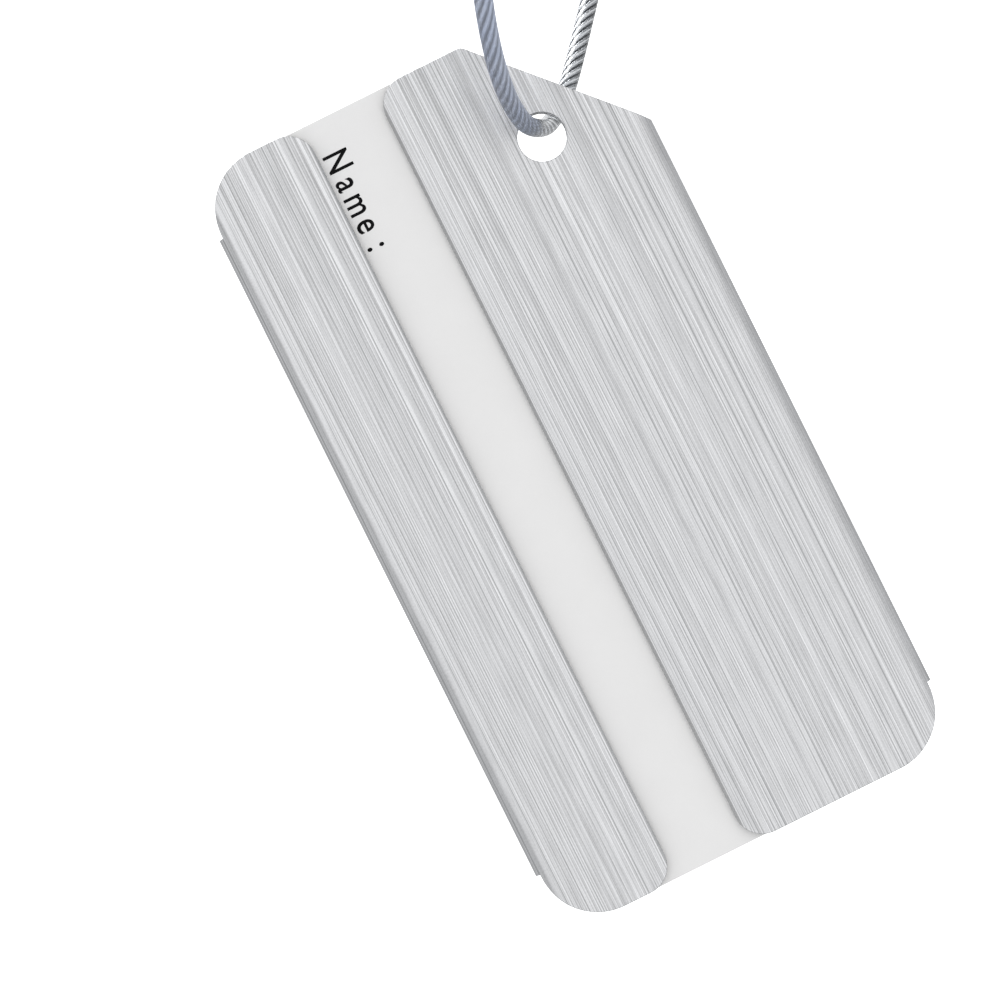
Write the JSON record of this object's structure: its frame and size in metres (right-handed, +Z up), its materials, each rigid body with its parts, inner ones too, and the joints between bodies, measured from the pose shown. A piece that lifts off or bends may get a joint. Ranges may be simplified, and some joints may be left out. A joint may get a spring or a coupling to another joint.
{
  "type": "luggage tag",
  "caption": "Flat folded-metal luggage tag with a slide-in name card behind its open front strip, hanging on a screw-closing steel cable loop.",
  "frame": {"origin": "inside of the cable loop's top, where a bag's handle or ring carries the tag", "axes": "+Z up, -Y towards the front of the tag, +X to the right as seen from the front; the tag's long axis leans in the XZ plane, top end to the left"},
  "size_m": [0.0684, 0.0501, 0.1235],
  "materials": {
    "brushed_aluminium": "brushed along the tag's length",
    "card_stock": "matt light grey card",
    "steel_cable": "stranded steel with a thin clear coat",
    "plated_steel": "satin nickel plate"
  },
  "bodies": {
    "loop": {"cable": "steel_cable", "stud_ferrule": "plated_steel"},
    "holder": {"tag_holder": "brushed_aluminium"},
    "card": {"name_card": "card_stock"},
    "collar": {"collar_ferrule": "plated_steel"},
    "nut": {"sleeve_nut": "plated_steel"}
  },
  "joints": [
    {"name": "holder_swing", "type": "hinge", "parent": "loop", "child": "holder", "pos_m": [0, 0, -0.0471], "axis": [0, 1, 0], "range_deg": [-90, 90]},
    {"name": "card_slide", "type": "slide", "parent": "holder", "child": "card", "axis": [0.4462, 0, -0.8949], "range_m": [0, 0.08]},
    {"name": "collar_slide", "type": "slide", "parent": "loop", "child": "collar", "axis": [0, 0, 1], "range_m": [0, 0.00225]},
    {"name": "sleeve_spin", "type": "hinge", "parent": "collar", "child": "nut", "pos_m": [0.00594, 0.02346, -0.0201], "axis": [0, 0, 1], "range_deg": [0, 1800]}
  ],
  "couplings": [
    {"joint": "sleeve_spin", "follows": "collar_slide", "rad_per_m": 13963}
  ]
}
